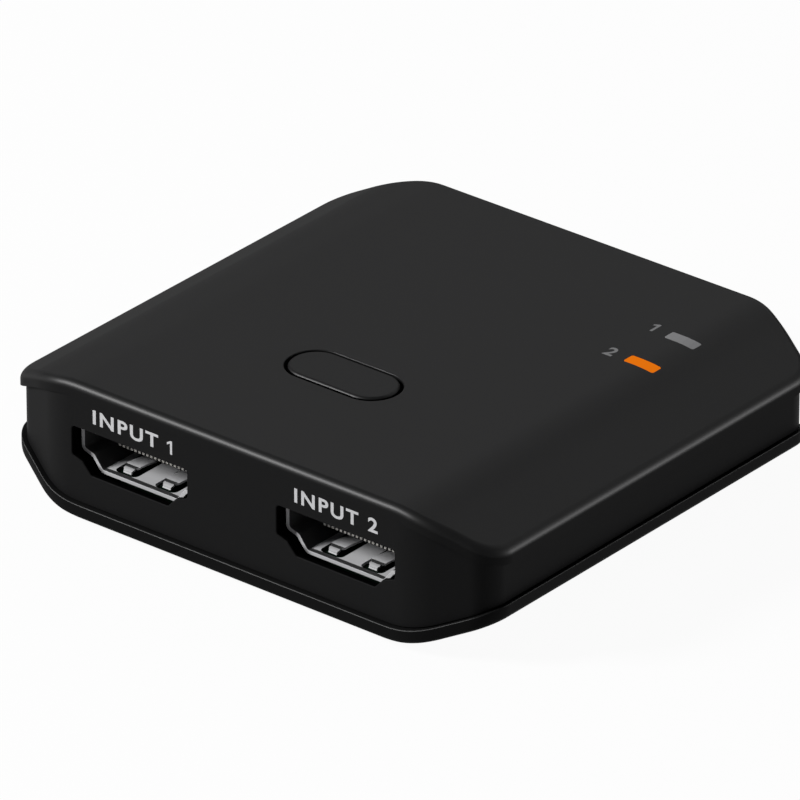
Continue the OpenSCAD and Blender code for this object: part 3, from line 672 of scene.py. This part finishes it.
def finger_width(y):
    """The width of a finger: broad behind its step, narrow before it, tapered at its nose."""
    behind = y - FINGER_TIP
    if behind > FINGER_STEP:
        return FINGER_BODY
    return FINGER_W if behind > FINGER_NOSE else FINGER_W - NOSE_TAPER


def socket_shell():
    """A socket's sheet-metal shell in its own frame, its rim at y = 0 and its floor at z = 0."""
    shell = outline("socket_shell", socket_outline(SHEET), 0, SOCKET_L)
    weld(shell, outline("rolled_rim", socket_outline(SHEET + ROLL_OUT), 0, RIM_BAND))
    cut(shell, outline("inside", socket_outline(0), -PAST, SOCKET_L + PAST))
    bevel(shell, lambda a, b, normals: max(abs(a.y), abs(b.y)) < SLACK, RIM_EDGE, 2)
    for roof in (False, True):
        curve = [(FINGER_TIP + y, SOCKET_H - z if roof else z) for y, z in FINGER_CURVE]
        low, high = sorted(SOCKET_H - z if roof else z for z in SLOT_CUT)
        lift = 1 if roof else -1
        for x in (-FINGER_X, FINGER_X):
            near = FINGER_TIP - FINGER_SLOT
            cut(shell, slab("slot", x, (near + FINGER_ROOT) / 2, FINGER_BODY + 2 * FINGER_BESIDE,
                            FINGER_ROOT - near, low, high, SLOT_R, 6))
            weld(shell, bent_strip("finger", curve, x, finger_width, FINGER_T, lift))
    for side in (-1, 1):
        for y in LEG_Y:
            left, right = sorted(side * x for x in LEG_X)
            weld(shell, block("leg", (left, y, LEG_Z[0]), (right, y + LEG_L, LEG_Z[1])))
    # Splits the shell at the rim band's depth, so that the band behind the rim can take painted shade
    activate(shell)
    bpy.ops.object.mode_set(mode="EDIT")
    bpy.ops.mesh.select_all(action="SELECT")
    bpy.ops.mesh.bisect(plane_co=(0, RIM_BAND * MM, 0), plane_no=(0, 1, 0))
    bpy.ops.object.mode_set(mode="OBJECT")
    return finish_mesh(shell, angle=38)


def socket_core():
    """The black tongue of a socket and the block that carries it, in the shell's frame."""
    low, high = TONGUE_Z
    core = block("socket_core", (-TONGUE_HALF, TONGUE_Y, low), (TONGUE_HALF, CORE_Y[0] + CORE_LAP, high))
    bevel(core, lambda a, b, normals: max(a.y, b.y) < TONGUE_Y + SLACK and along(a, b, 2), TONGUE_R, 4)
    weld(core, outline("block", socket_outline(-CORE_FIT), *CORE_Y))
    return finish_mesh(core)


def socket_pins():
    """Contacts of a socket: strips along both sides of its tongue, bent over its front in one row."""
    low, high = TONGUE_Z
    front = TONGUE_Y - PIN_T / 2
    pins = []
    for i in range(PINS):
        x = (i - (PINS - 1) / 2) * PITCH
        left, right = x - PIN_W / 2, x + PIN_W / 2
        strip = high - PIN_T / 4 if i % 2 == 0 else low - PIN_T / 4
        top = strip + PIN_T if i % 2 == 0 else PIN_LOW + 2 * PIN_T
        pin = block("pin", (left, front, PIN_LOW), (right, TONGUE_Y + PIN_T, top))
        start = front if i % 2 == 0 else TONGUE_Y + 3 * PIN_T
        weld(pin, block("strip", (left, start, strip), (right, CORE_Y[1] + PIN_TAIL, strip + PIN_T)))
        pins.append(pin)
    activate(pins[0])
    for pin in pins:
        pin.select_set(True)
    bpy.ops.object.join()
    return finish_mesh(settle(pins[0], "socket_pins"))


# Finishes

def tree_of(name):
    """A new material with its node tree and shader."""
    material = bpy.data.materials.new(name)
    material.use_nodes = True
    tree = material.node_tree
    return material, tree, tree.nodes["Principled BSDF"]


def maths(tree, operation, a, b):
    """Joins two values; the second may be a plain number."""
    step = tree.nodes.new("ShaderNodeMath")
    step.operation = operation
    tree.links.new(a, step.inputs[0])
    if isinstance(b, float):
        step.inputs[1].default_value = b
    else:
        tree.links.new(b, step.inputs[1])
    return step.outputs[0]


def grain_group():
    """Fine moulded grain: a height, and colour and gloss that vary a little over the surface."""
    group = bpy.data.node_groups.new("moulded_grain", "ShaderNodeTree")
    for name, default in (("Grain", 6000.0), ("Patches", 90.0)):
        socket = group.interface.new_socket(name, in_out="INPUT", socket_type="NodeSocketFloat")
        socket.default_value = default
    for name in ("Height", "Shade", "Gloss"):
        group.interface.new_socket(name, in_out="OUTPUT", socket_type="NodeSocketFloat")
    n, link = group.nodes, group.links.new
    start, end = n.new("NodeGroupInput"), n.new("NodeGroupOutput")
    where = n.new("ShaderNodeTexCoord")
    fine = n.new("ShaderNodeTexNoise")
    fine.inputs["Detail"].default_value = 3
    broad = n.new("ShaderNodeTexNoise")
    broad.inputs["Detail"].default_value = 4
    link(where.outputs["Object"], fine.inputs["Vector"])
    link(where.outputs["Object"], broad.inputs["Vector"])
    link(start.outputs["Grain"], fine.inputs["Scale"])
    link(start.outputs["Patches"], broad.inputs["Scale"])
    link(fine.outputs["Fac"], end.inputs["Height"])
    link(broad.outputs["Fac"], end.inputs["Shade"])
    link(maths(group, "MULTIPLY", fine.outputs["Fac"], broad.outputs["Fac"]), end.inputs["Gloss"])
    return group


GRAIN = grain_group()


def spread(tree, source, low, high, start=0.0, end=1.0):
    """Maps a value from one range to another."""
    step = tree.nodes.new("ShaderNodeMapRange")
    step.inputs["From Min"].default_value = start
    step.inputs["From Max"].default_value = end
    step.inputs["To Min"].default_value = low
    step.inputs["To Max"].default_value = high
    tree.links.new(source, step.inputs["Value"])
    return step.outputs["Result"]


def blend_colours(tree, source, dark, light):
    """A colour between two, by a value."""
    step = tree.nodes.new("ShaderNodeMix")
    step.data_type = "RGBA"
    step.inputs[6].default_value = (*dark, 1)
    step.inputs[7].default_value = (*light, 1)
    tree.links.new(source, step.inputs[0])
    return step.outputs[2]


def moulded(name, dark, light, gloss, bump, grain=6000.0, patches=90.0, specular=0.5):
    """A moulded, plated or rubber surface with fine grain."""
    material, tree, shader = tree_of(name)
    group = tree.nodes.new("ShaderNodeGroup")
    group.node_tree = GRAIN
    group.inputs["Grain"].default_value = grain
    group.inputs["Patches"].default_value = patches
    link = tree.links.new
    link(blend_colours(tree, group.outputs["Shade"], dark, light), shader.inputs["Base Color"])
    link(spread(tree, group.outputs["Gloss"], *gloss), shader.inputs["Roughness"])
    shader.inputs["Specular IOR Level"].default_value = specular
    height = tree.nodes.new("ShaderNodeBump")
    height.inputs["Strength"].default_value = bump
    height.inputs["Distance"].default_value = GRAIN_DEPTH * MM
    link(group.outputs["Height"], height.inputs["Height"])
    link(height.outputs["Normal"], shader.inputs["Normal"])
    return material, tree, shader


def upward_sheen(piece, low, high, floor):
    """Keeps, per face corner, how far the surface is turned up: 0 on walls and below the floor's
    height at that place, 1 on the lid. The case plastic paints light by it: painted shade on walls,
    a lighter colour and painted sheen where the surface is turned up."""
    mesh = piece.data
    sheen = mesh.attributes.new("sheen", "FLOAT", "CORNER")
    for corner, normal, loop in zip(sheen.data, mesh.corner_normals, mesh.loops):
        spot = mesh.vertices[loop.vertex_index].co / MM
        t = min(max((normal.vector.z - low) / (high - low), 0.0), 1.0)
        corner.value = t * t * (3 - 2 * t) if spot.z > floor(spot.x) else 0.0


def case_plastic(name, wall, lid, wall_gloss, coat_rough, bump=0.08):
    """Black case plastic with painted light by how far a face is turned up: darker and dull on upright
    walls, as painted shade, and lighter with a satin skin where it is turned up, as painted sheen;
    the skin fades where it is seen along the surface, as fine grain does."""
    material, tree, shader = moulded(name, wall, lid, (0.5, 0.58), bump, specular=0.02)
    link = tree.links.new
    sheen = tree.nodes.new("ShaderNodeAttribute")
    sheen.attribute_name = "sheen"
    # Painted light: the colour is lighter where the surface is turned up and darker on walls
    patches = maths(tree, "MULTIPLY", tree.nodes["Group"].outputs["Shade"], PATCH_SHARE)
    shade = maths(tree, "ADD", maths(tree, "MULTIPLY", sheen.outputs["Fac"], UPTURN_PAINTED_LIGHT_SHARE), patches)
    link(blend_colours(tree, shade, wall, lid), shader.inputs["Base Color"])
    angle = tree.nodes.new("ShaderNodeLayerWeight")
    angle.inputs["Blend"].default_value = 0.5
    facing = spread(tree, angle.outputs["Facing"], *SKIN)
    # Painted sheen: the coat is full where the surface is turned up and slight on walls
    skin = spread(tree, sheen.outputs["Fac"], wall_gloss, 1.0)
    link(maths(tree, "MULTIPLY", skin, facing), shader.inputs["Coat Weight"])
    shader.inputs["Coat Roughness"].default_value = coat_rough
    shader.inputs["Coat IOR"].default_value = 1.5
    link(shader.inputs["Normal"].links[0].from_socket, shader.inputs["Coat Normal"])
    return material


def metal(name, dark, light, gloss, bump=0.1, grain=2500.0, metallic=1.0):
    """Sheet metal or plating; metallic below 1 leaves a share of the light scattered."""
    material, _, shader = moulded(name, dark, light, gloss, bump, grain, 300.0)
    shader.inputs["Metallic"].default_value = metallic
    return material


def grey(v):
    """A neutral colour, very slightly cool."""
    return (v, v, v * 1.02)


# Case plastics with painted shade on walls and painted sheen where a face is turned up
lid_black = case_plastic("lid_black", grey(0.0074), grey(0.009), 0.03, 0.42)
base_black = case_plastic("base_black", grey(0.0032), grey(0.0055), 0.05, 0.42)
button_black = case_plastic("button_black", grey(0.006), grey(0.0085), 0.08, 0.42)
rubber = moulded("foot_rubber", grey(0.008), grey(0.014), (0.7, 0.85), 0.4, 3000.0)[0]
# Near-black painted shade for the sockets' recesses in the cover and for the button's gap
recess_painted_shade = moulded("recess_painted_shade", grey(0.0008), grey(0.0014), (0.6, 0.7), 0.1, specular=0.0)[0]
socket_black = moulded("socket_black", grey(0.003), grey(0.006), (0.5, 0.6), 0.2, specular=0.1)[0]
chip_black = moulded("chip_black", grey(0.012), grey(0.02), (0.5, 0.65), 0.4)[0]
board_green = moulded("board_green", (0.0014, 0.005, 0.0025), (0.002, 0.008, 0.004), (0.5, 0.6), 0.1,
                      specular=0.1)[0]
ceramic_tan = moulded("ceramic_tan", (0.3, 0.2, 0.11), (0.38, 0.26, 0.15), (0.35, 0.5), 0.2)[0]
ceramic_black = moulded("ceramic_black", grey(0.008), grey(0.014), (0.2, 0.3), 0.1)[0]
plunger_red = moulded("plunger_red", (0.18, 0.02, 0.012), (0.23, 0.03, 0.02), (0.35, 0.45), 0.1)[0]
shell_steel = metal("shell_steel", grey(0.48), grey(0.55), (0.66, 0.74), metallic=0.25)
# The shell's own steel made darker on the fingers' noses, as painted shade
nose_steel_painted_shade = metal("nose_steel_painted_shade", grey(0.27), grey(0.31), (0.66, 0.74), metallic=0.25)
# Dark steel as painted shade on the shell's side walls, the fingers' necks and the band behind the rim
shell_painted_shade = metal("shell_painted_shade", grey(0.06), grey(0.09), (0.45, 0.55), metallic=0.7)
screw_steel = metal("screw_steel", grey(0.10), grey(0.14), (0.3, 0.42))
can_steel = metal("can_steel", grey(0.5), grey(0.6), (0.3, 0.4))
contact_gold = metal("contact_gold", (0.62, 0.6, 0.56), (0.72, 0.7, 0.66), (0.3, 0.4), metallic=0.4)
window_clear = moulded("window_clear", grey(0.17), grey(0.20), (0.3, 0.4), 0.05, specular=0.2)[0]
light_chip = moulded("light_chip", (0.75, 0.7, 0.45), (0.85, 0.8, 0.55), (0.15, 0.25), 0.05)[0]
print_white = moulded("print_white", grey(0.42), grey(0.46), (0.5, 0.6), 0.05, specular=0.2)[0]
print_grey = moulded("print_grey", grey(0.16), grey(0.19), (0.5, 0.6), 0.05, specular=0.2)[0]

window_lit, _, lit_shader = moulded("window_lit", (0.33, 0.075, 0.003), (0.37, 0.085, 0.004),
                                    (0.3, 0.4), 0.05, specular=0.0)
lit_shader.inputs["Emission Color"].default_value = (0.9, 0.19, 0.004, 1)
lit_shader.inputs["Emission Strength"].default_value = 0.5


def dress(piece, *materials):
    """Gives a piece its materials; its faces keep their share of them."""
    faces = piece.data.polygons
    shares = [min(face.material_index, len(materials) - 1) for face in faces]
    piece.data.materials.clear()
    for material in materials:
        piece.data.materials.append(material)
    faces.foreach_set("material_index", shares)


# Pieces

def fit(piece, body, node, slot, *materials):
    """Gives a piece its finish and the node of a body that it stands for."""
    dress(piece, *materials)
    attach(piece, body)
    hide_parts(node)


def in_painted_shade_recess(face):
    """Whether a face of the cover is inside a socket's cut-out or pocket, which is painted near-black as
    shade.
    """
    centre = face.center / MM
    row, depth = (-INPUT_X, INPUT_X), centre.y - FRONT
    if centre.y > 0:
        row, depth = (OUTPUT_X,), BACK - centre.y
    beside = min(abs(centre.x - x) for x in row) < SOCKET[3][0] + SHEET + 2 * POCKET_GAP
    level = -RECESS_REACH < centre.z - FLOOR_Z < SOCKET_H + RECESS_REACH
    return beside and level and RECESS_NEAR < depth < WALL_T


def painted_shade_of_shell_face(face):
    """Which steel a shell's face gets: 2, darker steel as painted shade, on a finger's nose; 1, dark
    steel as painted shade, on a side wall, a finger's neck and the band behind the rim; 0 elsewhere."""
    x, y, z = (c / MM for c in face.center)
    raised = FINGER_LIFT < z < SOCKET_H - FINGER_LIFT and abs(x) < 2 * FINGER_BODY
    if raised and -FINGER_SLOT / 2 < y - FINGER_TIP < FINGER_NECK:
        return 2
    side = abs(face.normal.x) > SIDE_LEAN and abs(x) > 2 * FINGER_BODY
    neck = raised and y - FINGER_TIP < FINGER_STEP
    lengthwise = abs(face.normal.y) < END_LEAN and y > END_DEPTH
    return int(lengthwise and (side or neck or y < RIM_BAND))


def sunk_in_painted_shade(face):
    """Whether a face of the button is down in its hole, which is painted near-black as shade."""
    return face.center.z / MM < TOP_Z - BUTTON_SUNK


def part_finish(piece, rule):
    """Gives each face the material that the rule says, by its number."""
    for face in piece.data.polygons:
        face.material_index = int(rule(face))


def seat_copy(pattern, name, x, y, turn):
    """A socket's piece, copied to its place in a wall."""
    copy = pattern.copy()
    copy.data = pattern.data.copy()
    bpy.context.collection.objects.link(copy)
    copy.location = (x * MM, y * MM, FLOOR_Z * MM)
    copy.rotation_euler = (0, 0, turn)
    return settle(copy, name)


cover = top_cover()
upward_sheen(cover, 0.12, 0.5, top_at(RIM_H - 0.01))
# Faces in the sockets' recesses take near-black painted shade
part_finish(cover, in_painted_shade_recess)
fit(cover, "case", "top_cover", "case_black", lid_black, recess_painted_shade)

base = base_plate()
upward_sheen(base, 0.3, 0.7, base_at(0))
fit(base, "case", "base_plate", "base_black", base_black)

cap = button_cap()
upward_sheen(cap, 0.0, 0.5, lambda x: CEILING)
# The button's faces down in its hole take near-black painted shade
part_finish(cap, sunk_in_painted_shade)
fit(cap, "button", "select_button", "button_black", button_black, recess_painted_shade)

shell, core, pins = socket_shell(), socket_core(), socket_pins()
# The shell's faces take plain steel or steel darkened as painted shade
part_finish(shell, painted_shade_of_shell_face)
for name, *seat in (("input_1", -INPUT_X, FRONT + RIM_IN, 0), ("input_2", INPUT_X, FRONT + RIM_IN, 0),
                    ("output", OUTPUT_X, BACK - RIM_IN, math.pi)):
    fit(seat_copy(shell, name + "_rim", *seat), "case", name + "_shell", "shell_steel", shell_steel,
        shell_painted_shade, nose_steel_painted_shade)
    fit(seat_copy(core, name + "_tongue", *seat), "case", name + "_insulator", "socket_black", socket_black)
    fit(seat_copy(pins, name + "_pins", *seat), "case", name + "_contacts", "contact_gold", contact_gold)
for pattern in (shell, core, pins):
    bpy.data.objects.remove(pattern)


def lettering(name, words, height, span, spot, upright, material):
    """Printed words as a thin mesh; upright ones face the front, others lie on the lid."""
    deselect()
    turn = (math.pi / 2, 0, 0) if upright else (0, 0, 0)
    bpy.ops.object.text_add(location=[c * MM for c in spot], rotation=turn)
    piece = bpy.context.object
    piece.data.body = words
    piece.data.align_x = "CENTER"
    piece.data.align_y = "CENTER"
    piece.data.size = height / CAPITALS * MM
    piece.data.offset = WEIGHT * height * MM
    piece.data.extrude = INK * MM
    piece.data.space_character = SPACING
    bpy.ops.object.convert(target="MESH")
    piece.scale.x = span * MM / piece.dimensions.x
    settle(piece, name)
    dress(piece, material)
    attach(piece, "case")


def digit_one(name, height, spot, upright, material):
    """A printed 1 with its flag, which the lettering's own 1 lacks."""
    glyph = [(0.30, 0), (0.48, 0), (0.48, 1), (0.33, 1), (0.04, 0.83), (0.04, 0.66), (0.30, 0.80)]
    flat = [((u - 0.25) * height, (v - 0.5) * height) for u, v in glyph]
    x, y, z = spot
    deselect()
    bpy.ops.mesh.primitive_circle_add(vertices=len(glyph), radius=MM, fill_type="NGON")
    piece = bpy.context.object
    if upright:
        points = [(x + u, y + INK, z + v) for u, v in flat]
        step = (0, -2 * INK * MM, 0)
    else:
        points = [(x + u, y + v, z - INK) for u, v in flat]
        step = (0, 0, 2 * INK * MM)
    place(piece, range(len(glyph)), points)
    activate(piece)
    bpy.ops.object.mode_set(mode="EDIT")
    bpy.ops.mesh.select_all(action="SELECT")
    bpy.ops.mesh.extrude_region_move(TRANSFORM_OT_translate={"value": step})
    bpy.ops.mesh.select_all(action="SELECT")
    bpy.ops.mesh.normals_make_consistent(inside=False)
    bpy.ops.object.mode_set(mode="OBJECT")
    settle(piece, name)
    dress(piece, material)
    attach(piece, "case")


lettering("input_label_1", "INPUT", LABEL_H, 8.3, (-13.4, LABEL_Y, LABEL_Z), True, print_white)
digit_one("input_digit_1", LABEL_H, (-7.75, LABEL_Y, LABEL_Z), True, print_white)
lettering("input_label_2", "INPUT 2", LABEL_H, 10.3, (13.0, LABEL_Y, LABEL_Z), True, print_white)
digit_one("light_label_1", DIGIT_H, (DIGIT_X, DIGIT_Y[0], TOP_Z), False, print_grey)
lettering("light_label_2", "2", DIGIT_H, 1.1, (DIGIT_X, DIGIT_Y[1], TOP_Z), False, print_grey)

# Solids that are shown as they were packed

plain = {
    "rubber_feet": rubber, "case_screws": screw_steel,
    "main_board": board_green, "power_shell": shell_steel, "power_tongue": socket_black,
    "power_contacts": contact_gold, "switch_housing": chip_black, "switch_plate": can_steel,
    "switch_plunger": plunger_red, "switch_dome": can_steel, "switch_terminals": can_steel,
    "light_pipe_1": window_clear, "light_pipe_2": window_lit, "light_chip_1": light_chip,
    "light_chip_2": light_chip, "switch_chip": chip_black, "control_chip": chip_black,
    "regulator": chip_black, "crystal": can_steel, "surge_arrays": chip_black,
    "capacitors": ceramic_tan, "resistors": ceramic_black,
}
for name, material in plain.items():
    dress(nodes[name], material)


# Stage, light and camera

def white_floor():
    """A pale floor with the object's shadow, nearly white to the camera and in what mirrors it."""
    deselect()
    bpy.ops.mesh.primitive_plane_add(size=FLOOR_SIZE, location=(0, 0, -FLOOR_GAP * MM))
    floor = bpy.context.object
    floor.name = "floor"
    material, tree, shader = tree_of("floor_white")
    shader.inputs["Base Color"].default_value = (FLOOR_GREY, FLOOR_GREY, FLOOR_GREY, 1)
    shader.inputs["Roughness"].default_value = 1.0
    shader.inputs["Specular IOR Level"].default_value = 0.0
    path = tree.nodes.new("ShaderNodeLightPath")
    seen = maths(tree, "MAXIMUM", path.outputs["Is Camera Ray"], path.outputs["Is Glossy Ray"])
    seen = maths(tree, "MAXIMUM", seen, path.outputs["Is Transmission Ray"])
    white = tree.nodes.new("ShaderNodeEmission")
    white.inputs["Strength"].default_value = 1.0
    share = tree.nodes.new("ShaderNodeMixShader")
    link = tree.links.new
    link(maths(tree, "MULTIPLY", seen, FLOOR_WHITE), share.inputs["Fac"])
    link(shader.outputs["BSDF"], share.inputs[1])
    link(white.outputs["Emission"], share.inputs[2])
    link(share.outputs["Shader"], tree.nodes["Material Output"].inputs["Surface"])
    dress(floor, material)


def surround():
    """A dim grey world."""
    world = bpy.data.worlds.new("studio")
    bpy.context.scene.world = world
    world.use_nodes = True
    background = world.node_tree.nodes["Background"]
    background.inputs["Color"].default_value = (*SURROUND, 1)
    background.inputs["Strength"].default_value = 1.0


def lamp(name, way, distance, size, power):
    """A softbox seen from the object in the given direction."""
    deselect()
    way = Vector(way).normalized()
    bpy.ops.object.light_add(type="AREA", location=way * distance)
    light = bpy.context.object
    light.name = name
    light.rotation_euler = way.to_track_quat("Z", "Y").to_euler()
    light.data.shape = "RECTANGLE"
    light.data.size, light.data.size_y = size
    light.data.energy = power


def photo_camera():
    """The camera that saw the photo."""
    deselect()
    bpy.ops.object.camera_add(location=CAMERA_AT)
    camera = bpy.context.object
    camera.rotation_euler = Vector(CAMERA_BACK).to_track_quat("Z", "Y").to_euler()
    camera.data.lens = CAMERA_LENS
    camera.data.sensor_width = 36
    camera.data.clip_start = 0.01
    camera.data.clip_end = 50
    bpy.context.scene.camera = camera


white_floor()
surround()
lamp("key", (-0.575, -0.61, 0.545), 0.9, (0.22, 0.22), 11.0)
lamp("rim", (0.72, 0.69, 0.09), 0.9, (0.2, 0.12), 3.4)
lamp("back_left", (-0.62, 0.70, 0.36), 1.2, (0.9, 0.5), 1.22)
lamp("back_top", (0.2, 0.69, 0.69), 1.2, (1.0, 0.6), 1.75)

photo_camera()
bpy.context.scene.view_settings.view_transform = "Standard"
